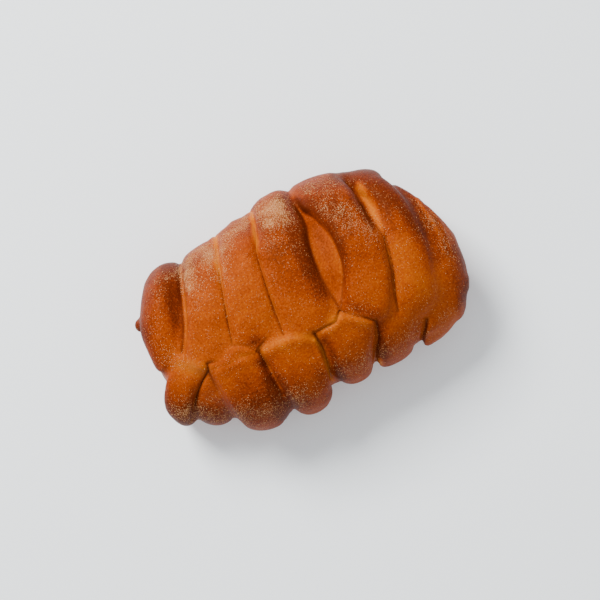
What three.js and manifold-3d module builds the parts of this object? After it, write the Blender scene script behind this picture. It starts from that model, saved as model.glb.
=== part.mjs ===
// A sweet bun: a short roll of enriched dough, wrapped in strips of the same dough. Long
// strips come up from the back, over the crest, and stop at a seam on the front shoulder.
// Short lobes come up from the front and meet them there. It proved and baked into one
// piece, so roll, strips and lobes are joined into one solid that stands on a flat base.
//
// Millimetres. X runs along the roll, +Y is the back, +Z is up. The origin is the middle
// of the base.

import * as THREE from "three";
import { mergeVertices } from "three/addons/utils/BufferGeometryUtils.js";
import Module from "manifold-3d";

const wasm = await Module();
wasm.setup();

// ---- Driving dimensions -------------------------------------------------------------

const LENGTH = 136; // overall, along X
const WIDTH = 90; // overall, along Y
const HEIGHT = 51; // overall, above the base

// Everything lies on a dome. Round its section, 0 degrees is the back at the belly, 90 the
// crest and 180 the front at the belly; below the belly it curls in to the base.
const BELLY = 15; // height of the widest level
const PLAN_POWER = 2.7; // squareness of the dome in plan: 2 is an ellipse
const CREST_POWER = 3; // squareness of the crest, seen from the front
const SECTION_POWER = 2.35; // squareness of a section across the roll
const UNDERCUT = 1.6; // how steeply the sides go in below the belly

// The dome that the roll itself fills, and how it is faceted: round, then along.
const ROLL = { half: 64, back: 37, front: 35, top: 40 };
const ROLL_STEPS = [32, 20];

// The strips and lobes, left to right. Each lies on a dome of its own, so that some stand
// prouder than others: half is half its length, back and front its reach on either side
// and top its height. angles say where it starts and stops round the section, and at even
// steps from start to stop come the X of its left edge, the X of its right edge, and its
// thickness.
const STRIPS = [
  {
    dome: { half: 67.5, back: 46, front: 44, top: 45 },
    angles: [-45, 112],
    left: [-65, -66.5, -66.8, -66.8, -66],
    right: [-38, -38, -40, -47, -49],
    thick: [14, 16, 16, 14, 12],
  },
  {
    dome: { half: 67, back: 42.5, front: 43, top: 48 },
    angles: [-45, 110],
    left: [-37, -37, -40, -45, -47],
    right: [-20, -20, -22, -26.5, -31],
    thick: [12, 12, 12, 11, 8],
  },
  {
    dome: { half: 67, back: 42.8, front: 43, top: 49.5 },
    angles: [-45, 110],
    left: [-20, -20, -22.5, -27.5, -31],
    right: [-3, -3, -5, -9.5, -11.5],
    thick: [12, 12, 12, 11, 8],
  },
  {
    dome: { half: 67, back: 45.3, front: 43, top: 51 },
    angles: [-45, 114],
    left: [-3, -3, -4, -8.8, -11.5],
    right: [14, 14, 14, 12, 13],
    thick: [13, 13, 13, 12, 9],
  },
  {
    dome: { half: 67, back: 45.3, front: 43, top: 51 },
    angles: [-45, 124],
    left: [15, 15, 18, 23, 12],
    right: [36, 36, 38, 41, 35],
    thick: [13, 13, 13, 12, 9],
  },
  {
    dome: { half: 67, back: 46, front: 43, top: 50 },
    angles: [-45, 134],
    left: [37, 37, 40, 43, 35],
    right: [52, 52, 54.5, 58.5, 56],
    thick: [13, 13, 13, 12, 9],
  },
  {
    dome: { half: 68, back: 35, front: 52, top: 46 },
    angles: [-40, 190],
    left: [50, 52, 57, 57, 54],
    right: [67.5, 67.9, 67.9, 67.9, 67.5],
    thick: [12, 13, 13, 13, 12],
  },
];
const LOBES = [
  {
    dome: { half: 70, back: 40, front: 44, top: 41 },
    angles: [86, 225],
    left: [-56, -64, -69, -69.6, -66],
    right: [-49, -49, -53, -58, -60],
    thick: [8, 14, 17, 17, 14],
  },
  {
    dome: { half: 68, back: 40, front: 42.5, top: 40 },
    angles: [100, 225],
    left: [-48, -55, -61, -61, -58],
    right: [-44, -42, -42, -42, -42],
    thick: [8, 12, 15, 15, 12],
  },
  {
    dome: { half: 68, back: 40, front: 45.4, top: 46.5 },
    angles: [94, 228],
    left: [-44, -45, -44.5, -43, -39],
    right: [-25, -22.5, -22, -24, -27],
    thick: [9, 14, 17, 17, 14],
  },
  {
    dome: { half: 68, back: 40, front: 45.2, top: 48 },
    angles: [98, 228],
    left: [-24, -23.5, -22.2, -21.5, -19],
    right: [-1, -1, -2, -3.5, -6],
    thick: [9, 14, 17, 17, 14],
  },
  {
    dome: { half: 68, back: 40, front: 41.4, top: 48.5 },
    angles: [100, 228],
    left: [0, 0, -0.5, 0, 2],
    right: [22, 23, 21, 18.5, 16],
    thick: [9, 14, 17, 17, 14],
  },
  {
    dome: { half: 68, back: 40, front: 41.5, top: 46.5 },
    angles: [108, 228],
    left: [23, 20, 18.5, 19, 22],
    right: [37, 42, 40, 37.5, 35],
    thick: [8, 13, 16, 16, 14],
  },
  {
    dome: { half: 68, back: 40, front: 49, top: 44 },
    angles: [112, 228],
    left: [43, 40, 39.5, 40, 42],
    right: [60, 64.5, 66, 65, 60],
    thick: [8, 13, 16, 16, 14],
  },
];
const STRIP_STEPS = [16, 20]; // facets round a strip, and along it
const OVERLAP = 1.5; // how far a strip runs into its neighbours
const BLUNT = 0.26; // how blunt a strip's ends are: 1 is round, and less is squarer
const NEAR_END = 0.999; // the share of its dome's half length that a strip may reach
const PILLOW = 0.75; // how square its section is: 1 is an ellipse, and less is squarer

// ---- Helpers ------------------------------------------------------------------------

const signedPower = (value, power) => Math.sign(value) * Math.abs(value) ** power;

// Falls from 1 in the middle to 0 at either end, as a superellipse does.
const fallOff = (t, power) => (1 - Math.min(Math.abs(t), 1) ** power) ** (1 / power);

// A smooth curve through values at even steps from 0 to 1.
function eased(values, t) {
  const curve = new THREE.SplineCurve(values.map((value, i) => new THREE.Vector2(i, value)));
  return curve.getPoint(THREE.MathUtils.clamp(t, 0, 1)).y;
}

// The point of a dome at a turn along it, -90 degrees to 90 from end to end, and an angle
// round its section.
function domePoint({ half, back, front, top }, turn, angle) {
  const along = Math.sin(THREE.MathUtils.degToRad(turn));
  const across = signedPower(Math.cos(THREE.MathUtils.degToRad(angle)), 2 / SECTION_POWER);
  const rise = signedPower(Math.sin(THREE.MathUtils.degToRad(angle)), 2 / SECTION_POWER);
  const reach = across < 0 ? front : back;
  const room = rise < 0 ? BELLY * UNDERCUT : (top - BELLY) * fallOff(along, CREST_POWER);
  return new THREE.Vector3(
    along * half,
    across * reach * fallOff(along, PLAN_POWER),
    BELLY + rise * room,
  );
}

function domeNormal(dome, turn, angle) {
  const step = 0.5;
  const ahead = domePoint(dome, turn, angle + step).sub(domePoint(dome, turn, angle - step));
  const right = domePoint(dome, turn + step, angle).sub(domePoint(dome, turn - step, angle));
  return ahead.cross(right).normalize();
}

// A unit sphere whose every point is moved by place(s, circle, ring): s runs from 0 at one
// pole to 1 at the other, circle is the point's place round the section, and ring is the
// share of the full width there, which drops to 0 at the poles.
function shapedSphere([around, along], place) {
  const geometry = new THREE.SphereGeometry(1, around, along);
  const points = geometry.getAttribute("position");
  const point = new THREE.Vector3();
  for (let i = 0; i < points.count; i++) {
    point.fromBufferAttribute(points, i);
    const s = Math.acos(THREE.MathUtils.clamp(point.y, -1, 1)) / Math.PI;
    const ring = Math.hypot(point.x, point.z);
    const circle = ring > 1e-6 ? [point.x / ring, point.z / ring] : [0, 0];
    const placed = place(s, circle, ring);
    points.setXYZ(i, placed.x, placed.y, placed.z);
  }
  return geometry;
}

function solidOf(geometry) {
  const merged = mergeVertices(geometry.deleteAttribute("normal").deleteAttribute("uv"), 1e-3);
  return new wasm.Manifold(
    new wasm.Mesh({
      numProp: 3,
      vertProperties: merged.getAttribute("position").array,
      triVerts: new Uint32Array(merged.index.array),
    }),
  );
}

// ---- Roll, strips and lobes ---------------------------------------------------------

function roll() {
  const geometry = shapedSphere(ROLL_STEPS, (s, [across, up]) => {
    const turn = THREE.MathUtils.lerp(-90, 90, s);
    const angle = THREE.MathUtils.radToDeg(Math.atan2(up, across));
    return domePoint(ROLL, turn, angle);
  });
  return solidOf(geometry);
}

// A pillow of dough that is bent over its dome, with its outside on the dome.
function strip({ dome, angles, left, right, thick }) {
  const turnOf = (x) => {
    const along = THREE.MathUtils.clamp(x / dome.half, -NEAR_END, NEAR_END);
    return THREE.MathUtils.radToDeg(Math.asin(along));
  };
  const geometry = shapedSphere(STRIP_STEPS, (s, [across, out], ring) => {
    const angle = THREE.MathUtils.lerp(angles[0], angles[1], s);
    const width = ring ** BLUNT;
    const leftTurn = turnOf(eased(left, s) - OVERLAP);
    const rightTurn = turnOf(eased(right, s) + OVERLAP);
    const share = 0.5 + (signedPower(across, PILLOW) * width) / 2;
    const turn = THREE.MathUtils.lerp(leftTurn, rightTurn, share);
    const depth = (eased(thick, s) / 2) * (signedPower(out, PILLOW) * width - 1);
    return domePoint(dome, turn, angle).addScaledVector(domeNormal(dome, turn, angle), depth);
  });
  return solidOf(geometry);
}

// ---- Assembly -----------------------------------------------------------------------

// Everything under the base is cut off.
function aboveBase(solid) {
  const slab = new THREE.BoxGeometry(2 * LENGTH, 2 * WIDTH, HEIGHT);
  slab.translate(0, 0, -HEIGHT / 2);
  return solid.subtract(solidOf(slab));
}

let dough = roll();
for (const shape of [...STRIPS, ...LOBES]) dough = dough.add(strip(shape));
const mesh = aboveBase(dough).getMesh();

const geometry = new THREE.BufferGeometry();
geometry.setAttribute("position", new THREE.BufferAttribute(mesh.vertProperties, 3));
geometry.setIndex(new THREE.BufferAttribute(mesh.triVerts, 1));
geometry.computeBoundingBox();
const size = geometry.boundingBox.getSize(new THREE.Vector3());
const middle = geometry.boundingBox.getCenter(new THREE.Vector3());
geometry.translate(-middle.x, -middle.y, 0);
geometry.scale(LENGTH / size.x, WIDTH / size.y, HEIGHT / size.z);

const bun = new THREE.Mesh(
  geometry,
  new THREE.MeshStandardMaterial({ color: 0xb8651f, roughness: 0.55, metalness: 0 }),
);
bun.name = "sweet_bun";

const group = new THREE.Group();
group.add(bun);
export default group;
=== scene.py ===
import math

import bpy
import numpy as np
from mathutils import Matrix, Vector, noise


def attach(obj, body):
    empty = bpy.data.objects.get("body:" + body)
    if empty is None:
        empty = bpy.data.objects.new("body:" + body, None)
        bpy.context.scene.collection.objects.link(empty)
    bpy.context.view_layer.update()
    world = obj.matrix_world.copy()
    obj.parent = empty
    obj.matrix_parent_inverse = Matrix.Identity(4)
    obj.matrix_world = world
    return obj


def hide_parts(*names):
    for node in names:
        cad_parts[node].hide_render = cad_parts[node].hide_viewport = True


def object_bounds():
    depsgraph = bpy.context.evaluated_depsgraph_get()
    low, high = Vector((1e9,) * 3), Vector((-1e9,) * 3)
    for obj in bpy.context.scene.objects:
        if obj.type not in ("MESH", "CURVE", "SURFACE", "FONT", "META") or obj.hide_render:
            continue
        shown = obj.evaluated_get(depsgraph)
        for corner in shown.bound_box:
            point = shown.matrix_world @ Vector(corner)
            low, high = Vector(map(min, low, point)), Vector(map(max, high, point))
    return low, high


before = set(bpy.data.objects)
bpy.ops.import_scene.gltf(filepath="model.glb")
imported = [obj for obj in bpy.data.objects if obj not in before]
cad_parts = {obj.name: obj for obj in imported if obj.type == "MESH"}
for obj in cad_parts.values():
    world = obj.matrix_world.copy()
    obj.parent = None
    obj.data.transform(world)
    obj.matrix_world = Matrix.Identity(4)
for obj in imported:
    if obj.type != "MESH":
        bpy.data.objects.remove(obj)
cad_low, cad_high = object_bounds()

# ---- Camera -------------------------------------------------------------------------
# Looks straight down on the bun from above. It is rolled, so that the bun lies across the
# view with its smoother end turned up to the right.

LOOK_HEIGHT = 0.92  # camera above the floor
VIEW_WIDTH = 0.2448  # what the camera takes in, at the bun's widest level
BELLY_LEVEL = 0.020  # height of that level
SENSOR_WIDTH = 36.0  # in millimetres, as the lens is
ROLL_OF_CAMERA = math.radians(-24.86)

bpy.ops.object.camera_add(location=(0, 0, LOOK_HEIGHT), rotation=(0, 0, ROLL_OF_CAMERA))
camera = bpy.context.object
camera.name = "camera"
camera.data.sensor_width = SENSOR_WIDTH
camera.data.lens = SENSOR_WIDTH * (LOOK_HEIGHT - BELLY_LEVEL) / VIEW_WIDTH
bpy.context.scene.camera = camera

# ---- Studio -------------------------------------------------------------------------
# A pale table under a big soft window light from the upper left of the view, with the
# room filling the shadows.

TABLE_SIZE = 6
TABLE_COLOUR = (0.87, 0.9, 0.91, 1)
TABLE_ROUGHNESS = 0.6
TABLE_GLOW = 0.14  # stands for light that the rest of the room throws on the table
ROOM_COLOUR = (0.93, 0.96, 1.0, 1)
ROOM_STRENGTH = 0.87
WINDOW_PLACE = (-0.9, 0.95, 1.25)  # to the view's right, up the view, and above the table
WINDOW_AIM = Vector((0, 0, 0.02))
WINDOW_SIZE = 0.75
WINDOW_POWER = 74


class Value:
    """A socket of a node tree, so that shader maths reads as plain arithmetic."""

    def __init__(self, tree, socket):
        self.tree = tree
        self.socket = socket

    def node(self, kind, inputs=(), output=0, **settings):
        """Adds any node: settings first, then its inputs by name or number."""
        made = self.tree.nodes.new(kind)
        for name, value in settings.items():
            if name == "stops":
                fill_ramp(made.color_ramp, value)
            else:
                setattr(made, name, value)
        for key, value in dict(inputs).items():
            if isinstance(value, Value):
                self.tree.links.new(value.socket, made.inputs[key])
            elif value is not None:
                made.inputs[key].default_value = value
        return Value(self.tree, made.outputs[output])

    def maths(self, operation, *values, clamp=False):
        inputs = dict(enumerate(values))
        return self.node("ShaderNodeMath", inputs, operation=operation, use_clamp=clamp)

    def __add__(self, other):
        return self.maths("ADD", self, other)

    def __radd__(self, other):
        return self.maths("ADD", other, self)

    def __sub__(self, other):
        return self.maths("SUBTRACT", self, other)

    def __rsub__(self, other):
        return self.maths("SUBTRACT", other, self)

    def __mul__(self, other):
        return self.maths("MULTIPLY", self, other)

    def __rmul__(self, other):
        return self.maths("MULTIPLY", other, self)

    def clipped(self):
        return self.maths("ADD", self, 0.0, clamp=True)

    def ramped(self, low, high):
        """0 at low, 1 at high, eased between them."""
        inputs = {"Value": self, "From Min": low, "From Max": high}
        kind = "ShaderNodeMapRange"
        return self.node(kind, inputs, interpolation_type="SMOOTHSTEP", clamp=True)

    def mixed(self, first, second):
        """first where this value is 0 and second where it is 1; both are colours."""
        inputs = {0: self, 6: first, 7: second}
        return self.node("ShaderNodeMix", inputs, output=2, data_type="RGBA")


def fill_ramp(ramp, stops):
    while len(ramp.elements) > 1:
        ramp.elements.remove(ramp.elements[-1])
    ramp.elements[0].position, ramp.elements[0].color = stops[0]
    for position, colour in stops[1:]:
        ramp.elements.new(position).color = colour


def new_material(name):
    """A material, its Principled shader, and a Value to build its nodes from."""
    made = bpy.data.materials.new(name)
    made.use_nodes = True
    tree = made.node_tree
    return made, tree.nodes["Principled BSDF"], Value(tree, None)


def wire(value, shader, socket):
    value.tree.links.new(value.socket, shader.inputs[socket])


bpy.ops.mesh.primitive_plane_add(size=TABLE_SIZE, location=(0, 0, cad_low[2]))
table = bpy.context.object
table.name = "table"
table_finish, table_shader, _ = new_material("pale_table")
table_shader.inputs["Base Color"].default_value = TABLE_COLOUR
table_shader.inputs["Roughness"].default_value = TABLE_ROUGHNESS
table_shader.inputs["Emission Color"].default_value = TABLE_COLOUR
table_shader.inputs["Emission Strength"].default_value = TABLE_GLOW
table.data.materials.append(table_finish)

room = bpy.context.scene.world or bpy.data.worlds.new("room")
bpy.context.scene.world = room
room.use_nodes = True
room_light = room.node_tree.nodes["Background"]
room_light.inputs["Color"].default_value = ROOM_COLOUR
room_light.inputs["Strength"].default_value = ROOM_STRENGTH

view_x, view_y, window_height = WINDOW_PLACE
window_x = view_x * math.cos(ROLL_OF_CAMERA) - view_y * math.sin(ROLL_OF_CAMERA)
window_y = view_x * math.sin(ROLL_OF_CAMERA) + view_y * math.cos(ROLL_OF_CAMERA)
bpy.ops.object.light_add(type="AREA", location=(window_x, window_y, window_height))
window = bpy.context.object
window.name = "window"
window.data.shape = "SQUARE"
window.data.size = WINDOW_SIZE
window.data.energy = WINDOW_POWER
window.rotation_euler = (WINDOW_AIM - window.location).to_track_quat("-Z", "Y").to_euler()

# ---- Dough --------------------------------------------------------------------------
# One roll of enriched dough, wrapped in strips of the same dough. Long strips come up
# from the back, over the crest, and stop at a seam on the front shoulder; short lobes
# come up from the front and meet them there. Each is shaped from a ball.

MM = 0.001  # the dough's own sizes and places are in millimetres
BELLY = 15.0  # height of the strips' widest level
PLAN_POWER = 2.7  # how square the domes are from above, where 2 is an ellipse,
CREST_POWER = 3.0  # from the front
SECTION_POWER = 2.35  # and in a cut from back to front
UNDERCUT = 1.6  # how deep a dome reaches under its belly, for each millimetre of BELLY
NEAR_END = 0.999  # how near a strip comes to the very end of its dome, as a share of it,
NEAR_SIDE = 0.98  # and to the dome's side, at the seam
STRIP_END = 0.2  # how blunt a strip's two ends are: 1 is round
TIP_START = 0.3  # how far along a strip its sides start to get rounder,
TIP_RUN = 0.3  # and over how much of its length they do
PAST_SEAM = 2.5  # how far strips and lobes run past the seam, under each other
SCRAP_RADIUS = 3.3
SCRAP_PLACE = (-60.8, 18.7, 19)


def signed_power(values, power):
    return np.sign(values) * np.abs(values) ** power


def fall_off(t, power):
    return (1 - np.minimum(np.abs(t), 1) ** power) ** (1 / power)


def eased(values, t):
    """A smooth curve through values at even steps from 0 to 1."""
    values = np.asarray(values, float)
    steps = len(values) - 1
    t = np.clip(t, 0, 1) * steps
    i = np.clip(t.astype(int), 0, steps - 1)
    f = t - i
    before, here = values[np.maximum(i - 1, 0)], values[i]
    there, after = values[i + 1], values[np.minimum(i + 2, steps)]
    slope_in, slope_out = (there - before) / 2, (after - here) / 2
    return (
        here
        + slope_in * f
        + (3 * (there - here) - 2 * slope_in - slope_out) * f**2
        + (2 * (here - there) + slope_in + slope_out) * f**3
    )


def dome_point(dome, turn, angle):
    """Points of a dome at a turn along it, -90 to 90, and an angle round its section: 0 is
    the back at the belly, 90 the crest, 180 the front at the belly. A dome is its half
    length, its reach to the back and to the front, and the height of its top."""
    half, back, front, top = dome
    along = np.sin(np.radians(turn))
    across = signed_power(np.cos(np.radians(angle)), 2 / SECTION_POWER)
    rise = signed_power(np.sin(np.radians(angle)), 2 / SECTION_POWER)
    reach = np.where(across < 0, front, back)
    room = np.where(rise < 0, BELLY * UNDERCUT, (top - BELLY) * fall_off(along, CREST_POWER))
    y = across * reach * fall_off(along, PLAN_POWER)
    return np.stack([along * half, y, BELLY + rise * room], axis=-1)


def dome_normal(dome, turn, angle, step=0.5):
    ahead = dome_point(dome, turn, angle + step) - dome_point(dome, turn, angle - step)
    right = dome_point(dome, turn + step, angle) - dome_point(dome, turn - step, angle)
    normal = np.cross(ahead, right)
    return normal / np.linalg.norm(normal, axis=-1, keepdims=True)


def read_points(piece):
    points = np.empty(len(piece.data.vertices) * 3)
    piece.data.vertices.foreach_get("co", points)
    return points.reshape(-1, 3)


def write_points(piece, points):
    piece.data.vertices.foreach_set("co", np.ascontiguousarray(points).ravel())
    piece.data.update()


def ball(name, segments, rings):
    """A unit ball of dough, and for each of its points the place along it, 0 to 1, the
    place round its section, and the share of the full width there."""
    bpy.ops.object.select_all(action="DESELECT")
    bpy.ops.mesh.primitive_uv_sphere_add(segments=segments, ring_count=rings, radius=1)
    made = bpy.context.object
    made.name = name
    points = read_points(made)
    along = np.arccos(np.clip(points[:, 2], -1, 1)) / math.pi
    ring = np.hypot(points[:, 0], points[:, 1])
    safe = np.maximum(ring, 1e-6)
    circle = points[:, :2] / safe[:, None] * (ring > 1e-4)[:, None]
    return made, along, circle, ring


def turn_outward(piece):
    """Makes a closed shape's faces point outwards."""
    bpy.ops.object.select_all(action="DESELECT")
    piece.select_set(True)
    bpy.context.view_layer.objects.active = piece
    bpy.ops.object.mode_set(mode="EDIT")
    bpy.ops.mesh.select_all(action="SELECT")
    bpy.ops.mesh.normals_make_consistent(inside=False)
    bpy.ops.object.mode_set(mode="OBJECT")


def roll_of_dough(dome):
    roll, along, circle, _ = ball("roll", 128, 96)
    turn = -90 + 180 * along
    angle = np.degrees(np.arctan2(circle[:, 1], circle[:, 0]))
    write_points(roll, dome_point(dome, turn, angle) * MM)
    turn_outward(roll)
    return roll


# Where strips and lobes meet, seen from above, as X and Y from the middle of the base. Each
# strip takes its edges from these lines, and the folds are creased along them.
LEFT_END_TO_SECOND = [(-37.5, 36), (-41.5, 25.5), (-47, 10), (-51.5, 1.5)]
SECOND_TO_THIRD = [(-20, 39), (-22.5, 32), (-26, 20), (-29.4, 7), (-31.8, -4)]
THIRD_TO_FOURTH = [(-3, 42), (-5, 33), (-8, 25.5), (-10.5, 7), (-11.7, -9.7)]
FOURTH_RIGHT = [(14, 44), (14.3, 31), (12.4, 20), (11.4, 5), (12.8, -9)]
FIFTH_LEFT = [(15, 44), (16.5, 38), (19.6, 32), (22.4, 20), (20.8, 5), (13, -10)]
FIFTH_RIGHT = [
    (36, 41), (38.2, 34.4), (39, 25), (39.8, 15.5), (41, 8.5), (39.2, -2.5), (36.7, -10), (33.6, -20),
]
SIXTH_LEFT = [
    (34.5, 42), (40.5, 36), (44.4, 25), (41.6, 10), (39.6, -2.5), (37.1, -10), (33.9, -20),
]
SIXTH_TO_RIGHT_END = [(51.5, 33.5), (55.6, 25), (57.6, 12), (57, 0), (54.5, -12)]
LEFT_CORNER_LEFT = [(-53, 2), (-62, -3), (-67, -10), (-69, -18), (-67, -26)]
LEFT_CORNER_TO_TUCKED = [(-45, -10), (-50, -14), (-54.5, -19), (-59, -27)]
TUCKED_TO_FIRST = [(-45, -10), (-44.6, -22), (-43.5, -36)]
FIRST_TO_MIDDLE = [(-23.5, -12), (-22.8, -22), (-22, -32), (-20.8, -41)]
MIDDLE_RIGHT = [(-0.5, -14), (0.2, -24), (-1.6, -34), (-3.5, -42)]
THIRD_LOBE_LEFT = [(0.2, -15), (1.2, -24), (0, -34), (0.5, -40)]
THIRD_LOBE_TO_FOURTH = [(24, -20.5), (22.4, -27), (19.4, -32), (17, -37.5)]
FOURTH_LOBE_TO_CORNER = [(42, -29), (40.3, -32), (36.3, -37)]
RIGHT_CORNER_LEFT = [(43.5, -28), (40.6, -32.5), (36.6, -38)]
RIGHT_CORNER_RIGHT = [(62, -20), (66, -30)]
SEAM = [
    (-64, -4), (-51.5, 1.5), (-45, -9.5), (-39, -8.5), (-32, -5), (-28, -8), (-23.5, -12),
    (-16, -7), (-11.7, -9.7), (-0.5, -14.5), (9.2, -14), (12.5, -10.2), (18, -15.5),
    (23.7, -20.4), (34.7, -20.5), (42, -28), (60, -30),
]
LEFT_OUTLINE = [(-59, 31), (-64, 24), (-67.3, 16), (-67.8, 6), (-67.6, -3), (-65, -12)]
RIGHT_OUTLINE = [
    (52, 29), (57.6, 22.5), (62, 15), (66, 6.5), (67.4, -3), (67.6, -12), (66.3, -22), (62, -30),
]


def curved(line, steps=6):
    """The points of a smooth curve through a line's points."""
    line = np.array(line, float)
    t = np.linspace(0, 1, steps * (len(line) - 1) + 1)
    return np.stack([eased(line[:, 0], t), eased(line[:, 1], t)], axis=1)


def across_at(line, y):
    """The X of a line that runs from back to front, where it passes a Y."""
    line = curved(line)[::-1]
    return np.interp(y, line[:, 1], line[:, 0])


def strip_of_dough(name, dome, left, right, thick, overlap, start=None, stop=None, pillow=(0.6, 0.6),
                   round_tip=0):
    """A pillow of dough bent over its dome, with its outside on the dome, between a line on
    its left and one on its right. It runs round the section from start to stop, in degrees,
    and an end that isn't given is at the seam. thick is how thick it is and overlap how far
    it runs into its neighbours, both from start to stop. pillow is how square its two sides
    are: 1 is round. round_tip makes the sides rounder towards the stop."""
    strip, along, circle, ring = ball(name, 64, 64)
    half, back, front, _ = dome
    width = ring**STRIP_END

    def turn_of(x):
        return np.degrees(np.arcsin(np.clip(x / half, -NEAR_END, NEAR_END)))

    def seam_angle(x, past):
        reach = fall_off(x / half, PLAN_POWER)
        y = np.interp(x, *np.transpose(SEAM)) + past
        reach = np.maximum(np.where(y < 0, front, back) * reach, 1)
        out = np.clip(y / reach, -NEAR_SIDE, NEAR_SIDE)
        return np.degrees(np.arccos(signed_power(out, SECTION_POWER / 2)))

    square = np.where(circle[:, 0] < 0, *pillow)
    square += (1 - square) * round_tip * np.clip((along - TIP_START) / TIP_RUN, 0, 1)
    share = 0.5 + signed_power(circle[:, 0], square) * width / 2
    grow = eased(overlap, along)
    seam_end = -1 if stop is None else 0
    at_seam = left[seam_end][0] + (right[seam_end][0] - left[seam_end][0]) * share
    first = seam_angle(at_seam, PAST_SEAM) if start is None else start
    last = seam_angle(at_seam, -PAST_SEAM) if stop is None else stop
    angle = first + (last - first) * along
    turn = turn_of(at_seam)
    for _ in range(3):
        y = dome_point(dome, turn, angle)[:, 1]
        left_turn = turn_of(across_at(left, y) - grow)
        right_turn = turn_of(across_at(right, y) + grow)
        turn = left_turn + (right_turn - left_turn) * share
    depth = eased(thick, along) / 2 * (signed_power(circle[:, 1], square) * width - 1)
    points = dome_point(dome, turn, angle) + dome_normal(dome, turn, angle) * depth[:, None]
    write_points(strip, points * MM)
    turn_outward(strip)
    return strip


dough = [roll_of_dough((62, 38, 37, 45.5))]

# The long strips from the back, left to right.
dough += [
    strip_of_dough(
        "left_end", dome=(68.8, 45, 44, 48.5), left=LEFT_OUTLINE, right=LEFT_END_TO_SECOND, start=-45,
        thick=(14, 16, 17, 16, 14), overlap=(-1, 0, -0.5, -0.5, 0.5), pillow=(0.8, 1.0),
    ),
    strip_of_dough(
        "second", dome=(67, 40.3, 43, 49), left=LEFT_END_TO_SECOND, right=SECOND_TO_THIRD, start=-45,
        thick=(12, 13, 13, 12, 10), overlap=(-1, 0.8, 1, 1.5, 3), pillow=(0.6, 0.6),
    ),
    strip_of_dough(
        "third", dome=(67, 41.6, 43, 50), left=SECOND_TO_THIRD, right=THIRD_TO_FOURTH, start=-45,
        thick=(12, 13, 13, 12, 10), overlap=(-1, 0.8, 1, 1.5, 3), pillow=(0.65, 0.6),
    ),
    strip_of_dough(
        "fourth", dome=(67, 45.3, 43, 51), left=THIRD_TO_FOURTH, right=FOURTH_RIGHT, start=-45,
        thick=(13, 15, 15, 13, 10), overlap=(-1, 0.8, 0.8, 1.2, 2.5), pillow=(0.65, 0.95),
    ),
    strip_of_dough(
        "fifth", dome=(67, 46.4, 43, 51), left=FIFTH_LEFT, right=FIFTH_RIGHT, start=-45,
        thick=(13, 14, 14, 13, 10), overlap=(-1, 0.6, 0.4, 1, 2.5), pillow=(0.6, 0.6),
    ),
    strip_of_dough(
        "sixth", dome=(67, 45.6, 43, 50), left=SIXTH_LEFT, right=SIXTH_TO_RIGHT_END, start=-45,
        thick=(13, 14, 14, 13, 10), overlap=(-1, 0.6, 0.4, 1.5, 3), pillow=(0.9, 0.7),
    ),
    strip_of_dough(
        "right_end", dome=(68.5, 37, 50, 47), left=SIXTH_TO_RIGHT_END, right=RIGHT_OUTLINE, start=-40,
        stop=190, thick=(12, 13, 13, 13, 12), overlap=(3, 2, 1, 2, 2), pillow=(0.8, 0.8),
    ),
]

# The short lobes from the front, left to right.
dough += [
    strip_of_dough(
        "left_corner", dome=(74, 40, 40, 43), left=LEFT_CORNER_LEFT, right=LEFT_CORNER_TO_TUCKED,
        start=92, stop=207, thick=(8, 14, 17, 17, 14), overlap=(0, 0.5, 1, 1, 0.5), pillow=(0.8, 0.65),
        round_tip=0.6,
    ),
    strip_of_dough(
        "tucked_lobe", dome=(68, 40, 40.5, 41), left=LEFT_CORNER_TO_TUCKED, right=TUCKED_TO_FIRST,
        start=100, stop=225, thick=(8, 12, 15, 15, 12), overlap=(1, 1, 1, 0, -2), round_tip=0.8,
    ),
    strip_of_dough(
        "first_lobe", dome=(68, 40, 45.4, 48.5), left=TUCKED_TO_FIRST, right=FIRST_TO_MIDDLE,
        stop=228, thick=(10, 14, 17, 17, 14), overlap=(2.5, 1.5, 0.5, 0, -2), round_tip=0.9,
    ),
    strip_of_dough(
        "middle_lobe", dome=(68, 40, 45.2, 49.5), left=FIRST_TO_MIDDLE, right=MIDDLE_RIGHT,
        stop=228, thick=(10, 14, 17, 17, 14), overlap=(2.5, 1.5, 0.5, 0, -2), round_tip=0.9,
    ),
    strip_of_dough(
        "third_lobe", dome=(68, 40, 40.9, 50), left=THIRD_LOBE_LEFT, right=THIRD_LOBE_TO_FOURTH,
        stop=228, thick=(10, 14, 17, 17, 14), overlap=(2.5, 1.5, 0.5, 0, -2), round_tip=0.8,
    ),
    strip_of_dough(
        "fourth_lobe", dome=(68, 40, 41.1, 48.5), left=THIRD_LOBE_TO_FOURTH, right=FOURTH_LOBE_TO_CORNER,
        stop=228, thick=(9, 13, 16, 16, 14), overlap=(2.5, 1.5, 0.5, 0, -2), pillow=(0.4, 0.7),
        round_tip=0.3,
    ),
    strip_of_dough(
        "right_corner", dome=(68, 40, 45.8, 46), left=RIGHT_CORNER_LEFT, right=RIGHT_CORNER_RIGHT,
        start=112, stop=207, thick=(9, 13, 16, 16, 14), overlap=(2.5, 2, 1, 0.5, 0), pillow=(0.35, 0.6),
    ),
]

# A scrap of dough that stands out of the left end.
scrap_place = [length * MM for length in SCRAP_PLACE]
bpy.ops.mesh.primitive_uv_sphere_add(radius=SCRAP_RADIUS * MM, location=scrap_place)
dough.append(bpy.context.object)

# ---- Bun ----------------------------------------------------------------------------
# The wrapped dough runs together as it proves, and bakes into one piece of soft bread with
# a thin brown crust. Its base is flat where it stood on the tray. The shape that it bakes to
# is worked over here: valleys filled, folds creased, and the oven's browning painted on,
# with painted shade in the folds, the gaps and on some flanks.

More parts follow.
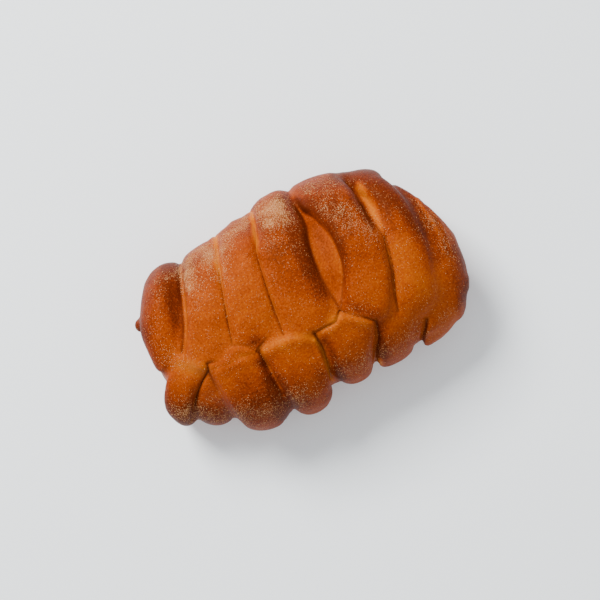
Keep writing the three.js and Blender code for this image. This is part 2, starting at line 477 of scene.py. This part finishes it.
VOXEL = 0.45 * MM
FIRST_SOFTENING = 6  # rounds of smoothing, straight after the dough is joined,
LAST_SOFTENING = 2  # and after all the shaping
OUTWARD_SOFTENING = 60  # rounds that even out the directions in which the dough swells
PROVING = 250  # rounds in which the closed folds fill up
CREASE_FOOT = 8  # folds start this high above the tray, and have their full depth at twice it
VALLEY_WIDTH = 2.6  # the soft valley round a crease, for each millimetre of the crease,
VALLEY_DEPTH = 0.28  # and its depth
UNEVEN = [(0.45, 16, 1), (0.18, 6, 2), (0.05, 2.2, 3)]  # rise, size and seed of its lumps
TRIANGLES = 190000
DRAWN_IN = 1.1  # how much narrower the bun gets for each unit of height above its belly

bpy.ops.object.select_all(action="DESELECT")
for piece in dough:
    piece.select_set(True)
bun = dough[0]
bpy.context.view_layer.objects.active = bun
bpy.ops.object.join()
bun.name = "bun"
bun.data.name = "bun"
bun.data.remesh_voxel_size = VOXEL
bun.data.use_remesh_fix_poles = False
bpy.ops.object.voxel_remesh()


def read_normals(piece):
    normals = np.empty(len(piece.data.vertices) * 3)
    piece.data.vertex_normals.foreach_get("vector", normals)
    return normals.reshape(-1, 3)


def read_edges(piece):
    edges = np.empty(len(piece.data.edges) * 2, int)
    piece.data.edges.foreach_get("vertices", edges)
    return edges.reshape(-1, 2)


def distance_along(places, line):
    """How far each place is from a line of points, seen from above, how far along the line
    its nearest point is, 0 to 1, and which side it is on: 1 is the line's left."""
    line = np.array(line, float)
    lengths = np.linalg.norm(np.diff(line, axis=0), axis=1)
    run = np.concatenate([[0], np.cumsum(lengths)]) / lengths.sum()
    nearest = np.full(len(places), 1e9)
    share = np.zeros(len(places))
    side = np.zeros(len(places))
    for i, length in enumerate(lengths):
        step = line[i + 1] - line[i]
        from_start = places - line[i]
        t = np.clip((from_start @ step) / length**2, 0, 1)
        gap = np.linalg.norm(from_start - t[:, None] * step, axis=1)
        closer = gap < nearest
        nearest = np.where(closer, gap, nearest)
        share = np.where(closer, run[i] + t * (run[i + 1] - run[i]), share)
        bend = step[0] * from_start[:, 1] - step[1] * from_start[:, 0]
        side = np.where(closer, np.sign(bend), side)
    return nearest, share, side


def brush(places, line, width, strength):
    """The strength of a soft round brush at each place, for a stroke along a line."""
    nearest, share, _ = distance_along(places[:, :2], line)
    return np.exp(-((nearest / width) ** 2)) * eased(strength, share)


def lumps(places, size, seed):
    """Smooth random unevenness of about -1 to 1, with lumps of a size."""
    offset = Vector((seed * 17.3, seed * 5.1, seed * 9.7))
    return np.array([noise.noise(Vector(place) / size + offset) for place in places])


def layers_of_lumps(places, layers):
    return sum(rise * lumps(places, size, seed) for rise, size, seed in layers)


def neighbours_mean(values, edges, counts):
    total = np.empty_like(values)
    for i in range(3):
        there = np.bincount(edges[:, 0], values[edges[:, 1], i], len(values))
        back = np.bincount(edges[:, 1], values[edges[:, 0], i], len(values))
        total[:, i] = (there + back) / counts
    return total


def relax(places, edges, weight, times):
    """Smooths the surface, by a weight of up to 1."""
    counts = np.bincount(edges.ravel(), minlength=len(places))
    for _ in range(times):
        places = places + (neighbours_mean(places, edges, counts) - places) * weight
    return places


def fill_valleys(places, normals, edges, weight, times):
    """Lets proved dough close the valleys between its strips, by each place's weight."""
    counts = np.bincount(edges.ravel(), minlength=len(places))
    for _ in range(times):
        push = neighbours_mean(places, edges, counts) - places
        rise = np.sum(push * normals, axis=1, keepdims=True)
        push = np.where(rise > 0, push, push - rise * normals)
        places = places + push * weight[:, None]
    return places


edges = read_edges(bun)
places = relax(read_points(bun) / MM, edges, 0.5, FIRST_SOFTENING)
write_points(bun, places * MM)
outward = relax(read_normals(bun), edges, 1.0, OUTWARD_SOFTENING)
outward /= np.linalg.norm(outward, axis=1, keepdims=True)

# Where the strips ran together as they proved, along the seam and the front shoulder:
# points, width, strength along the line. These lie above the shoulder's level.
SHOULDER_LEVEL = 18
CLOSED_ABOVE = [
    ([(-31.8, -4), (-28, 10)], 5, (1, 0.5)),
    ([(-11.7, -9.7), (-9.5, 12)], 5, (1, 0.6)),
    ([(34.7, -20), (40.3, 0), (41.8, 11)], 7, (1, 1, 0.7)),
    ([(-44, -9), (-38, -8), (-32, -6)], 6, (1, 1, 1)),
    ([(-40, -8), (-28, -7), (-12, -10), (0, -13), (12, -13), (23, -18), (38, -22)], 6, (0.8, 1, 1, 1, 1)),
    ([(-60, -2), (-51.5, 0), (-43, -7)], 5, (1, 0.6)),
    ([(38, -24), (50, -24), (60, -18)], 8, (1, 1, 0.6)),
    ([(57, -15), (57.5, 5)], 4, (1, 0.3)),
    ([(35, 46), (38, 39)], 4, (1, 1)),
    ([(14.7, 47), (16.3, 40)], 2.5, (1, 0.8)),
    ([(51.5, 34), (55.6, 26), (57.6, 12)], 3.6, (0.8, 1, 0.8)),
]

# The same on the sides and ends, where each also has the level that it stays below.
CLOSED_BELOW = [
    ([(55, 26), (62, 12), (66, -4), (64, -22)], 6, (1, 1, 1, 1), 30),
    ([(-64, 8), (-66, -6), (-66, -18), (-58, -28)], 6, (1, 1, 1, 1), 14),
    ([(35, 47), (37.5, 40)], 4, (1, 1), 30),
    ([(13, 49), (15, 42)], 4, (1, 1), 30),
    ([(-64, 21), (-64.5, 16)], 3, (1, 1), 30),
    ([(-45, -13), (-44.6, -22), (-43.5, -36)], 3, (0.3, 0.7, 0.6), 60),
    ([(-20, 47), (-21, 39)], 4.5, (1, 0.7), 30),
    ([(-2, 49), (-4, 41)], 4.5, (1, 0.7), 30),
]
height = places[:, 2]
closed = np.zeros(len(places))
for line, width, strength in CLOSED_ABOVE:
    closed = np.maximum(closed, brush(places, line, width, strength) * (height > SHOULDER_LEVEL))
for line, width, strength, top in CLOSED_BELOW:
    closed = np.maximum(closed, brush(places, line, width, strength) * (height < top))
closed = np.clip(closed * 2, 0, 1)  # so that a fold closes fully over half its brush
places = fill_valleys(places, outward, edges, closed, PROVING)

# Creases where strips and lobes meet: points, depth along the line, width, and the strength
# of the painted shade at the fold's bottom along the line.
CREASES = [
    # Between the long strips.
    (curved(LEFT_END_TO_SECOND), (0.8, 1.7, 1.7, 1.2), 1.0, (0.6, 1, 1, 0.8)),
    (curved(SECOND_TO_THIRD), (0.9, 0.9, 1.2, 1.4, 1.4, 0.6), 0.6, (0, 0.2, 0.7, 0.8, 1, 0.8)),
    (curved(THIRD_TO_FOURTH), (0.9, 0.9, 1.2, 1.7, 1.7, 0.8), 0.6, (0, 0.4, 1, 1, 1, 0.8)),
    (curved([(41.4, 9), (39.3, -2.5), (36.8, -10), (35.1, -15), (33.6, -21)]), (1, 1.9, 1.9, 1.5, 0.8),
     0.65, (1, 1, 1, 1, 0.8)),
    # Along the seam.
    ([(-45, -10.5), (-44.2, -7.3), (-39, -8)], (1.6, 1.2, 0), 0.7, (1, 0.9, 0)),
    (curved([(-44, -10.3), (-35, -11.2), (-30.6, -10.7), (-24, -11.8)]), (0.4, 0.4, 0.4, 0.3), 0.9,
     (0.15, 0.15, 0.12, 0.1)),
    (curved([(-32.4, -4.5), (-27.7, -7), (-23.9, -11.5)]), (0.5, 0.6, 1), 0.7, (0.6, 0.4, 0.7)),
    ([(-24, -11.8), (-16, -7)], (2, 0), 0.8, (1, 0)),
    ([(-0.5, -14.5), (9.2, -14), (12.5, -10.2)], (1.3, 1.2, 1.6), 0.55, (1, 0.9, 1)),
    ([(12.5, -10.2), (18, -15.5), (23.7, -20.4)], (1.4, 1.1, 1.8), 0.55, (1, 0.7, 1)),
    # Between the lobes.
    (curved([(-45, -10), (-50, -14), (-54.5, -19), (-59, -26)]), (1.8, 2, 1.6, 0.8), 0.8, (1, 1, 1, 0.6)),
    (curved([(-45, -10), (-44.6, -22), (-43.5, -36)]), (1.2, 0.8, 0.8), 1.3, (1, 0.2, 0.3)),
    (curved([(-23.5, -12), (-22.8, -22), (-22, -32)]), (2, 1.6, 0.8), 0.9, (1, 1, 0.8)),
    (curved([(-0.5, -14.5), (0.2, -22), (-1.5, -34)]), (2, 1.5, 0.8), 0.8, (1, 0.9, 0.6)),
    (curved([(24, -20.5), (22.4, -27), (19.4, -32), (16.6, -38)]), (2, 2.6, 3, 2.6), 1.0, (1, 1, 1, 0.8)),
    (curved([(42.4, -29), (40.6, -32.2), (36.2, -38)]), (1.6, 3.4, 3), 1.4, (1, 1, 0.8)),
]
sunk = np.zeros(len(places))
above_foot = np.clip(places[:, 2] / CREASE_FOOT - 1, 0, 1)
for line, depth, width, _ in CREASES:
    sunk = np.maximum(sunk, brush(places, line, width, depth) * above_foot)
    valley = brush(places, line, VALLEY_WIDTH * width, depth)
    sunk = np.maximum(sunk, VALLEY_DEPTH * valley * above_foot)

# Soft hollows and swellings: points, rise along the line, width.
SWELLINGS = [
    ([(-41, 34), (-45, 24), (-50, 12)], (-1, -2, -0.8), 4),
    ([(-23.5, -14.5), (-16.3, -12.5), (-9, -13.5), (-1.5, -17.5)], (0.4, 1, 1, 0.6), 2.6),
    ([(-44, -13), (-36, -11.5), (-25, -14.5)], (0.5, 0.9, 0.5), 2.8),
    ([(2, -17.5), (12.2, -13.5), (22, -21)], (0.5, 0.9, 0.5), 2.6),
    ([(-53, -1), (-48, -7)], (0.8, 0.8), 2.4),
    ([(13.5, 14), (15.5, 22), (14, 2)], (-0.6, -0.8, -0.4), 3),
    ([(-39, -10.5), (-32, -7), (-26, -11)], (0.3, 0.5, 0.3), 1.8),
    ([(4, 46), (12, 45)], (1, 2.2), 4),
    ([(-11, 44), (-6, 45)], (2.6, 4), 3),
    ([(-24, 42), (-21.5, 42)], (0.5, 3), 2.4),
    ([(-24.5, -43), (-22, -42)], (-0.8, -1.2), 2.2),
    ([(36.5, -38.5), (41, -38), (46, -36.5)], (-1.6, -1.8, -0.9), 2.8),
    ([(-22.5, -8.5), (-20, -5)], (-0.9, -0.4), 3),
    ([(36.5, 40.5), (39, 37.5)], (0.6, 0.3), 2.4),
    ([(59.5, 18), (61.3, 6), (60.3, -6)], (0.4, 0.4, 0.2), 0.9),
    ([(62, 14), (63.6, 4), (63, -8)], (0.4, 0.4, 0.2), 0.9),
    ([(-2, -17), (-2.2, -26), (-3.2, -35)], (0.4, 0.5, 0.3), 0.9),
    ([(65.5, -21.5), (64.5, -24)], (1.6, 1.6), 2.4),
]
swollen = np.zeros(len(places))
for line, rise, width in SWELLINGS:
    swollen += brush(places, line, width, rise)
uneven = layers_of_lumps(places, UNEVEN)
places += outward * (swollen - sunk + uneven)[:, None]
places = relax(places, edges, 0.5, LAST_SOFTENING)
places[:, 2] = np.maximum(places[:, 2], 0)
write_points(bun, places * MM)

thin = bun.modifiers.new("thin", "DECIMATE")
thin.ratio = TRIANGLES / (2 * len(bun.data.polygons))
bpy.ops.object.modifier_apply(modifier=thin.name)

# The oven's and the baker's work, with painted shade in folds and gaps and on some flanks,
# is painted on before the bun is drawn in to its true size.
WANDER = 0.9  # how far a brush stroke strays from its line
SLACK_ROUNDS = 60  # rounds of smoothing that leave only the broad shape of the bun
FULLY_RAISED = 1.2  # how far an edge stands out from the broad shape
PAINT_FOOT = 10  # strokes have half their strength this high above the tray
places = read_points(bun) / MM
normals = read_normals(bun)
slack = relax(places, read_edges(bun), 0.7, SLACK_ROUNDS)
raised = np.clip(np.sum((places - slack) * normals, axis=1) / FULLY_RAISED, -1, 1)
strayed = [lumps(places, 5, 7), lumps(places, 5, 8), np.zeros(len(places))]
brushed_at = places + WANDER * np.stack(strayed, axis=1)


def painted(base, strokes):
    """A value at every place: a base, with soft strokes of points, width and strength. A
    stroke may also stop at a line: it is then only on the side with more X, 1, or less, -1."""
    value = np.full(len(places), float(base))
    above = np.clip(places[:, 2] / PAINT_FOOT - 0.5, 0, 1)
    for line, width, strength, *stop_at in strokes:
        stroke = brush(brushed_at, curved(line), width, strength) * above
        for edge, kept_side in stop_at:
            nearest, _, side = distance_along(places[:, :2], curved(edge))
            stroke *= np.clip(nearest * side * kept_side + 0.5, 0, 1)
        value += stroke
    return value


def keep_paint(piece, name, value):
    attribute = piece.data.attributes.new(name, "FLOAT", "POINT")
    attribute.data.foreach_set("value", np.clip(value, 0, 1).astype(np.float32))


# How brown, with painted shade added on some flanks and in the gaps: 0 is the pale dough of
# a split, 0.5 golden, 1 the darkest edges.
GOLDEN = 0.5
EDGE_BROWNING = 0.16
SIDE_PALING = 0.3
SIDE_LEVEL = 11  # the sides are paler below this level, and the base isn't
BASE_LEVEL = 0.3
BLOTCHES = [(0.07, 9, 4), (0.04, 3, 5)]  # strength, size and seed
BROWNING_AND_SHADE = [
    # The left end, and the second and third strips.
    ([(-61, 20), (-52, 30), (-42, 34)], 7, (0.27, 0.32, 0.27)),
    ([(-64, 15), (-64, 0)], 5, (0.2, 0.15)),
    ([(-64, 12), (-62, 0)], 6, (0.1, 0.1)),
    # The left end's right flank: browner crust, with painted shade where it faces away from the window.
    ([(-39.5, 34), (-44.5, 23), (-49.5, 8)], 3.6, (0.5, 0.65, 0.3), (LEFT_END_TO_SECOND, -1)),
    ([(-36, 32), (-30, 34)], 9, (0.18, 0.18)),
    ([(-18, 34), (-12, 36)], 9, (0.15, 0.15)),
    # Painted shade in the corner where the third strip's end dips to the seam.
    ([(-22.3, -7.3), (-21, -4)], 3, (0.35, 0.1)),
    # The fourth strip, and its right flank: browner crust with painted shade, where it faces away
    # from the window.
    ([(2, 36), (4, 26)], 9, (0.32, 0.2)),
    ([(-2, 20), (0, 8)], 6, (0.22, 0.22)),
    ([(11, 40), (11, 28), (9, 15), (8.5, 0)], 3.8, (0.5, 0.65, 0.55, 0.3), (FOURTH_RIGHT, -1)),
    # The fifth strip, its two edges and its low end.
    ([(24, 38), (28, 28), (31, 14)], 9, (0.35, 0.3, 0.1)),
    ([(31, 24), (31, 6)], 7, (0.08, 0.12)),
    ([(19, 34), (22.8, 20), (21.5, 5), (15, -6)], 2.6, (0.45, 0.5, 0.4, 0.2), (FIFTH_LEFT, 1)),
    # Painted shade on the fifth strip's right edge, where it stands over the gap beside the sixth strip.
    ([(36.8, 34), (37.8, 25), (38.8, 16)], 2, (0.4, 0.5, 0.4), (FIFTH_RIGHT, -1)),
    ([(15, -10.5), (19, -13.5), (24, -17)], 2.8, (0.25, 0.35, 0.3)),
    # The sixth strip and the right end.
    ([(36, 41), (46, 37), (52.5, 26), (55.5, 10), (55, -6)], 4.4, (0.5, 0.6, 0.65, 0.55, 0.25)),
    # Painted shade on the sixth strip's left side, over the gap.
    ([(42.5, 38), (46.5, 26), (45, 12)], 2.8, (0.3, 0.4, 0.25), (SIXTH_LEFT, 1)),
    ([(46, 2), (46, -16)], 6, (-0.12, -0.15)),
    ([(60, 18), (66, 2), (67, -18), (60, -30)], 4, (0, 0.05, 0.35, 0.3)),
    ([(62, -14), (60, -24)], 6, (0.1, 0.1)),
    ([(59, 16), (62, 2), (61, -8)], 4, (-0.05, -0.12, -0.05)),
    ([(62, 8), (62, -8)], 4, (0.15, 0.15)),
    # Streaks on the right end: painted sheen along a ridge, and painted shade in the grooves beside it.
    ([(59.5, 18), (61.3, 6), (60.3, -6)], 0.9, (-0.2, -0.2, -0.1)),
    ([(60.8, 16), (62.5, 5), (61.6, -7)], 0.8, (0.2, 0.2, 0.1)),
    ([(58, 18), (59.6, 6), (58.5, -6)], 0.8, (0.15, 0.15, 0.1)),
    # The lobes' low ends and sides, left to right.
    ([(-68, -12), (-64, -22), (-58, -27)], 6, (0.4, 0.5, 0.5)),
    ([(-54, -22), (-46, -30)], 7, (0.25, 0.25)),
    ([(-41, -34), (-26, -36)], 9, (0.22, 0.22)),
    ([(-34, -24), (-32, -30)], 7, (0.12, 0.15)),
    ([(-35, -14), (-33, -20)], 5, (0.1, 0.12)),
    ([(-24.5, -16), (-24, -28), (-25, -40)], 2.6, (0.4, 0.5, 0.5), (FIRST_TO_MIDDLE, -1)),
    ([(-21, -18), (-20, -38)], 2, (0.2, 0.3), (FIRST_TO_MIDDLE, 1)),
    ([(-18, -36), (-5, -38)], 9, (0.2, 0.18)),
    ([(2.5, -18), (2, -36)], 1.8, (0.3, 0.3)),
    ([(4, -34), (18, -34)], 7, (0.12, 0.15)),
    # Painted shade on the fourth lobe's left side, where the third lobe stands over it.
    ([(24.5, -23), (22.5, -29), (20, -35)], 2.2, (0.3, 0.5, 0.3), (THIRD_LOBE_TO_FOURTH, 1)),
    ([(26, -34), (36, -35)], 6, (0.1, 0.12)),
    ([(45, -35), (60, -29)], 6, (-0.12, 0.05)),
    # The lobes' paler tops, left to right.
    ([(-54, -3), (-47, -8)], 3, (-0.3, -0.3)),
    ([(-44, -11), (-28, -10.5)], 2, (-0.1, -0.1)),
    ([(-21, -11.5), (-10, -12.5), (-2, -15.5)], 2.4, (-0.3, -0.3, -0.25)),
    ([(3, -16), (12, -12.5), (21, -19)], 2.6, (-0.25, -0.3, -0.25)),
    # Pale splits between strips, and between lobes.
    ([(-20.5, 39), (-23, 31), (-26, 20)], 1.1, (-0.8, -0.7, -0.15)),
    ([(-3.4, 42), (-5.4, 32), (-8, 25)], 1.0, (-0.8, -0.7, -0.15)),
    ([(-22.8, -18), (-22.3, -34)], 1, (-0.15, -0.15)),
    ([(-0.6, -17), (-0.9, -26), (-1.8, -35)], 1.3, (-0.4, -0.45, -0.4)),
    ([(18.4, -36), (17.6, -39)], 1.3, (-0.8, -0.8)),
    # The gap beside the fourth strip.
    ([(15.6, 42), (17.2, 38.5)], 1.8, (-0.1, -0.15)),
    # Painted shadow in the hole at the top of the gap.
    ([(15.3, 38.5), (17.3, 34.5)], 2, (0.5, 0.6)),
    ([(17.5, 30), (17, 14), (14, -2)], 3, (0.18, 0.2, 0.16)),
    # The gap beside the sixth strip.
    # Painted shadow under the sixth strip's top corner, which curls over the gap.
    ([(36, 41), (38.5, 37)], 2.2, (0.5, 0.7)),
    ([(40, 34.5), (41.2, 26), (41.2, 15)], 1.9, (-0.4, -0.4, -0.3)),
    # Painted shade along the foot of the sixth strip's edge.
    ([(42.4, 33), (43.6, 25), (42.6, 16)], 1.2, (0.2, 0.25, 0.2)),
]
low_side = np.clip(1 - places[:, 2] / SIDE_LEVEL, 0, 1) * (places[:, 2] > BASE_LEVEL)
baked = painted(GOLDEN, BROWNING_AND_SHADE) + EDGE_BROWNING * raised - SIDE_PALING * low_side
baked += layers_of_lumps(places, BLOTCHES)

# How much sugar stuck: thickest on the backs of the middle strips and the lobes' ends.
THINLY = 0.22
SUGAR_FOOT = 20  # less sugar lands on the sides below this level
SUGARED = [
    # The backs of the strips, left to right.
    ([(-40, 31), (-34, 37), (-27, 38)], 6, (0.55, 0.85, 0.7)),
    ([(-37, 22), (-31, 30)], 6, (0.25, 0.3)),
    ([(-37.5, 33), (-38.5, 25)], 2.4, (0.45, 0.35)),
    ([(-21, 36), (-12, 40), (-6, 41)], 5.5, (0.7, 0.8, 0.7)),
    ([(-22, 33), (-24, 25), (-23, 18)], 2.6, (0.8, 0.6, 0.2)),
    ([(-1, 42), (3, 39), (2, 30)], 6.5, (0.7, 0.7, 0.3)),
    ([(9, 42), (10, 34)], 5, (0.5, 0.25)),
    ([(20, 42), (30, 41)], 5, (0.45, 0.45)),
    ([(26, 30), (31, 24), (37, 15)], 5, (0.3, 0.4, 0.35)),
    # The left end.
    ([(-60, 22), (-50, 34)], 6, (0.05, 0.1)),
    ([(-61, 8), (-56, 2)], 6, (0.05, 0.15)),
    # The lobes' low ends, left to right.
    ([(-66, -14), (-60, -25)], 5, (0.2, 0.45)),
    ([(-55, -26), (-48, -33)], 6, (0.4, 0.5)),
    ([(-43, -34), (-30, -40)], 6, (0.42, 0.35)),
    ([(-20, -36), (-8, -42)], 6, (0.38, 0.3)),
    ([(5, -36), (17, -35)], 6, (0.3, 0.4)),
    ([(28, -37), (37, -34)], 5, (0.35, 0.35)),
    ([(48, -34), (58, -30)], 5, (0.15, 0.15)),
    # The fifth strip's low end.
    ([(15, -9.5), (19, -12.5), (24, -16)], 2.5, (0.1, 0.2, 0.15)),
    # Bare splits and flanks, the right end, and the bare gap beside the fourth strip.
    ([(-20.6, 39), (-24, 28)], 1.5, (-0.9, -0.7)),
    ([(-3.6, 42), (-6.3, 30)], 1.5, (-0.9, -0.7)),
    ([(15.3, 44), (17.5, 37)], 2.4, (-0.6, -0.6)),
    ([(-40, 34), (-45, 22), (-49.5, 8)], 2.6, (-0.3, -0.6, -0.3), (LEFT_END_TO_SECOND, -1)),
    ([(60, 15), (62, 3), (62, -9)], 4, (0.3, 0.35, 0.25)),
    ([(17.5, 30), (17, 14), (14, -2)], 3.2, (-0.4, -0.4, -0.3)),
]
sugared = painted(THINLY, SUGARED) * np.clip(places[:, 2] / SUGAR_FOOT, 0.15, 1)
sugared *= (1 + 0.5 * lumps(places, 5, 6)) * np.clip(normals[:, 2] + 0.2, 0.05, 1)

# Painted shade in thin lines at the gaps' edges and corners, where they fall into shadow:
# points, strength along the line, width.
GAP_EDGE_SHADE = [
    (curved(FOURTH_RIGHT[1:]), (0.6, 0.9, 1, 0.9), 0.8),
    (curved(FIFTH_LEFT[1:]), (0.9, 0.8, 0.8, 0.9, 0.8), 0.5),
    (curved(SIXTH_LEFT[:4]), (0.4, 0.5, 0.6), 0.5),
    ([(15.6, 38.2), (17.2, 35.6), (18.6, 33.6)], (0.6, 1.3, 0.9), 1.3),
    ([(14.8, 38.5), (16.2, 34.5), (17.6, 32.5)], (0.8, 1, 0.8), 1.1),
    ([(36.3, 40), (38, 37.4), (38.8, 34.5)], (1, 1.3, 1), 1.3),
    (curved(FIFTH_RIGHT[1:5]), (0.6, 0.6, 0.7), 0.5),
]
FOLD_SHADE_WIDTH = 0.55  # the painted shade at the bottom of a crease, for each millimetre of the crease
GAP_EDGE_SHADE_STRENGTH = 0.8
FOLD_SHADE_FOOT = 10  # the painted shade in the folds is only above this level
# Painted shade at the bottoms of the folds and along the gaps' edges.
folded = np.zeros(len(places))
for line, _, width, shade_strength in CREASES:
    folded = np.maximum(folded, brush(places, line, FOLD_SHADE_WIDTH * width, shade_strength))
for line, strength, width in GAP_EDGE_SHADE:
    folded = np.maximum(folded, GAP_EDGE_SHADE_STRENGTH * brush(places, line, width, strength))
folded *= places[:, 2] > FOLD_SHADE_FOOT

keep_paint(bun, "baked", baked)
keep_paint(bun, "sugared", sugared)
keep_paint(bun, "folded", folded)

CRUST_COLOURS = [
    (0.0, (0.40, 0.106, 0.003, 1)),
    (0.25, (0.335, 0.068, 0.002, 1)),
    (0.5, (0.26, 0.040, 0.0013, 1)),
    (0.75, (0.17, 0.0215, 0.0015, 1)),
    (1.0, (0.08, 0.0095, 0.0015, 1)),
]
# The colour of the painted shade at the bottom of a fold.
FOLD_SHADE_COLOUR = (0.085, 0.012, 0.003, 1)
SUGAR_HAZE = (0.5, 0.19, 0.05, 1)
SUGAR_SPECK = (0.6, 0.28, 0.1, 1)
PATCH_SCALE = 160  # patches, freckles, clouds of sugar, pimples and specks to the metre
FRECKLE_SCALE = 1300
CLOUD_SCALE = 500
PIMPLE_SCALE = 330
SPECK_SCALE = 2000
PATCHINESS = 0.26
FRECKLING = 0.9
SKIN_DEPTH = 0.0006
EGG_WASH = 0.06  # a weak, warm gloss
EGG_WASH_TINT = (1, 0.5, 0.2, 1)

crust, crust_shader, of_crust = new_material("crust")
on_crust = of_crust.node("ShaderNodeTexCoord", output=3)
# The paint: browning with some painted shade, sugar, and painted shade in the folds and at the gaps'
# edges.
brown_and_shade_paint = of_crust.node("ShaderNodeAttribute", output=2, attribute_name="baked")
sugaring = of_crust.node("ShaderNodeAttribute", output=2, attribute_name="sugared")
fold_shading = of_crust.node("ShaderNodeAttribute", output=2, attribute_name="folded")


def mottle(position, scale, detail=3):
    """Cloudy noise of 0 to 1 at a position."""
    inputs = {"Vector": position, "Scale": scale, "Detail": detail, "Roughness": 0.6}
    return position.node("ShaderNodeTexNoise", inputs)


patches = mottle(on_crust, PATCH_SCALE)
freckles = mottle(on_crust, FRECKLE_SCALE)
brown_and_shade_mottled = brown_and_shade_paint + (patches - 0.5) * PATCHINESS + (freckles - 0.5) * FRECKLING
bread = of_crust.node("ShaderNodeValToRGB", {"Fac": brown_and_shade_mottled}, stops=CRUST_COLOURS)
# Painted shade darkens the bottoms of the folds and the gaps' edges.
with_fold_shade = fold_shading.mixed(bread, FOLD_SHADE_COLOUR)

# Sugar too fine to see as grains is a haze, and the finest grains are specks in the cells
# of a Voronoi pattern: each cell's own colour says whether it has one, and how big.
speck_cells = {"Vector": on_crust, "Scale": SPECK_SCALE}
from_speck = of_crust.node("ShaderNodeTexVoronoi", speck_cells, output=0)
speck_colour = of_crust.node("ShaderNodeTexVoronoi", speck_cells, output=1)
speck_luck = of_crust.node("ShaderNodeSeparateColor", {"Color": speck_colour})
speck_size = of_crust.node("ShaderNodeSeparateColor", {"Color": speck_colour}, output=1)
has_speck = of_crust.maths("LESS_THAN", speck_luck, sugaring * 0.8 + 0.2)
speck = (1 - from_speck.ramped(0.15, 0.42)) * has_speck * (speck_size * 0.6 + 0.1) * (sugaring * 0.7 + 0.4)
clouds = mottle(on_crust, CLOUD_SCALE) * 0.4 + freckles * 1.6 - 0.2
haze = (sugaring * clouds).ramped(0.4, 1.25) * 0.5
dusted = haze.mixed(with_fold_shade, SUGAR_HAZE)
wire(speck.mixed(dusted, SUGAR_SPECK), crust_shader, "Base Color")

roughness = 0.46 + (patches - 0.5) * 0.16 + haze * 0.5 + speck * 0.2
wire(roughness.clipped(), crust_shader, "Roughness")
relief = mottle(on_crust, PIMPLE_SCALE, detail=4) * 0.5 + freckles * 0.6 + speck * 0.4
skin = of_crust.node("ShaderNodeBump", {"Strength": 0.5, "Distance": SKIN_DEPTH, "Height": relief})
wire(skin, crust_shader, "Normal")
crust_shader.inputs["Specular IOR Level"].default_value = EGG_WASH
crust_shader.inputs["Specular Tint"].default_value = EGG_WASH_TINT
bun.data.materials.append(crust)
bpy.ops.object.shade_smooth()

# Drawn in above its belly, then brought to the size that the frame gives it.
points = places * MM
points[:, :2] *= (1 - DRAWN_IN * (points[:, 2:] - BELLY_LEVEL))
write_points(bun, points)
points = read_points(bun)
low, high = points.min(0), points.max(0)
middle = (low + high) / 2
middle[2] = low[2]
full_size = np.array(cad_high) - np.array(cad_low)
write_points(bun, (points - middle) * (full_size / (high - low)))

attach(bun, "root")
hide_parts("sweet_bun")

# ---- Sugar --------------------------------------------------------------------------
# Fine sugar grains, dusted on the egg wash before baking, and stuck where it was wet. One
# grain is a small crystal; the copies lie on the crust, each turned its own way.

GRAINS = 14000
GRAIN_SIZE = (0.1 * MM, 0.24 * MM)
GRAIN_SHAPE = (1.0, 0.85, 0.65)
SUNK_IN = 0.15  # of a grain's size, below the crust
TILT = 0.25  # how unevenly they lie
BARE = 0.14  # where the paint says less sugar than this, no grain sits
CLUSTERING = 1.7  # above 1, grains crowd more where there is more sugar
GRAIN_MOTTLE = 1800
GRAIN_DARK = (0.42, 0.18, 0.055, 1)
GRAIN_PALE = (0.62, 0.34, 0.15, 1)
GRAIN_GLOSS = 0.2

bpy.ops.object.select_all(action="DESELECT")
bpy.ops.mesh.primitive_cube_add(size=1, scale=GRAIN_SHAPE)
sugar = bpy.context.object
sugar.name = "sugar_grains"
sugar.data.name = "sugar_grains"
bpy.ops.object.transform_apply(scale=True)
crystal = read_points(sugar)
sides = np.array([list(face.vertices) for face in sugar.data.polygons])

bun.data.calc_loop_triangles()
corners = np.empty(len(bun.data.loop_triangles) * 3, int)
bun.data.loop_triangles.foreach_get("vertices", corners)
corners = corners.reshape(-1, 3)
surface = read_points(bun)
upright = read_normals(bun)
first, second, third = surface[corners[:, 0]], surface[corners[:, 1]], surface[corners[:, 2]]
area = np.linalg.norm(np.cross(second - first, third - first), axis=1)
chance = area * np.clip(sugared[corners].mean(axis=1) - BARE, 0, 1) ** CLUSTERING
rng = np.random.default_rng(7)
chosen = rng.choice(len(corners), GRAINS, p=chance / chance.sum())
mix = rng.dirichlet((1, 1, 1), GRAINS)[:, :, None]
seat = (surface[corners[chosen]] * mix).sum(axis=1)
up = (upright[corners[chosen]] * mix).sum(axis=1)
up /= np.linalg.norm(up, axis=1, keepdims=True)
up += rng.normal(0, TILT, up.shape)
up /= np.linalg.norm(up, axis=1, keepdims=True)
across = np.cross(up, rng.normal(size=up.shape))
across /= np.linalg.norm(across, axis=1, keepdims=True)
turned = np.stack([across, np.cross(up, across), up], axis=1)
grain_size = rng.uniform(*GRAIN_SIZE, GRAINS) * rng.uniform(0.7, 1, GRAINS)
lifted = crystal[None, :, :] + (0, 0, 0.5 * GRAIN_SHAPE[2] - SUNK_IN)
spread = lifted * grain_size[:, None, None]
grains = seat[:, None, :] + spread @ turned
faces = sides[None, :, :] + len(crystal) * np.arange(GRAINS)[:, None, None]
sugar.data.clear_geometry()
sugar.data.from_pydata(grains.reshape(-1, 3), [], faces.reshape(-1, 4).tolist())

crystal_finish, sugar_shader, of_sugar = new_material("sugar")
tint = mottle(of_sugar.node("ShaderNodeTexCoord", output=3), GRAIN_MOTTLE, detail=1)
wire(tint.ramped(0.3, 0.7).mixed(GRAIN_DARK, GRAIN_PALE), sugar_shader, "Base Color")
wire(tint * 0.3 + 0.25, sugar_shader, "Roughness")
sugar_shader.inputs["Specular IOR Level"].default_value = GRAIN_GLOSS
sugar.data.materials.append(crystal_finish)

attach(sugar, "root")
